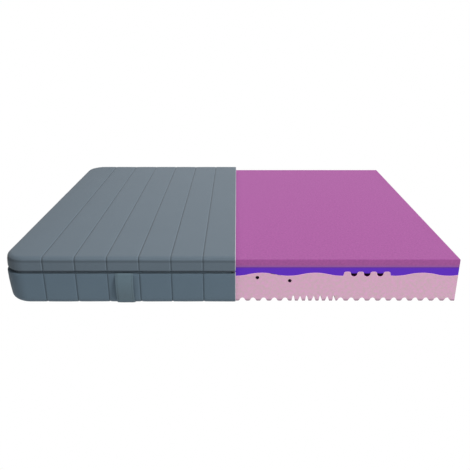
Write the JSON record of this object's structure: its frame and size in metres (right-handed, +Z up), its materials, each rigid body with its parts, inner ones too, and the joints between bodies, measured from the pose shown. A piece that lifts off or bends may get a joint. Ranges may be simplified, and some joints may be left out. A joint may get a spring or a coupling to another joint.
{
  "type": "memory foam mattress",
  "caption": "Cutaway mattress: layered foam core with a wavy gel layer and a notched base, half of it in a zipped quilted cover with strap handles.",
  "frame": {"origin": "middle of the underside of the whole object, on the surface it lies on", "axes": "+X along the mattress from the covered end to the bare foam end, +Y across it from the front side to the rear side, +Z up"},
  "size_m": [1.972, 1.624, 0.219],
  "materials": {
    "memory_foam": "open-cell memory foam, fine-pored and matt",
    "gel_foam": "open-cell gel foam, matt",
    "support_foam": "coarse-pored support foam, matt",
    "cover_fabric": "quilted knit, matt",
    "quilting_thread": "stitched thread",
    "wadding": "white fibre wadding",
    "lining": "thin non-woven lining",
    "bottom_fabric": "plain woven fabric",
    "zip_tape": "woven tape",
    "zip_coil": "nylon coil",
    "strap": "folded knit strap",
    "zip_metal": "plated metal"
  },
  "bodies": {
    "mattress": {"support_foam": "support_foam", "gel_foam": "gel_foam", "memory_foam": "memory_foam", "border_fabric": "cover_fabric", "border_quilting_thread": "quilting_thread", "border_wadding": "wadding", "border_lining": "lining", "bottom_panel": "bottom_fabric", "lower_zip_tape": "zip_tape", "lower_zip_coil": "zip_coil", "handle_front": "strap", "handle_rear": "strap"},
    "top_cover": {"top_cover_fabric": "cover_fabric", "top_quilting_thread": "quilting_thread", "top_cover_wadding": "wadding", "top_cover_lining": "lining", "upper_zip_tape": "zip_tape", "upper_zip_coil": "zip_coil"},
    "slider": {"zip_slider": "zip_metal"},
    "pull_tab": {"zip_pull_tab": "zip_metal"}
  },
  "joints": [
    {"name": "top_cover_lift", "type": "slide", "parent": "mattress", "child": "top_cover", "axis": [0, 0, 1], "range_m": [0, 0.3]},
    {"name": "zip_run", "type": "slide", "parent": "mattress", "child": "slider", "axis": [0, -1, 0], "range_m": [0, 1.26]},
    {"name": "pull_tab_swing", "type": "hinge", "parent": "slider", "child": "pull_tab", "pos_m": [-0.9824, 0.6, 0.149], "axis": [0, 0, 1], "range_deg": [0, 170]}
  ]
}
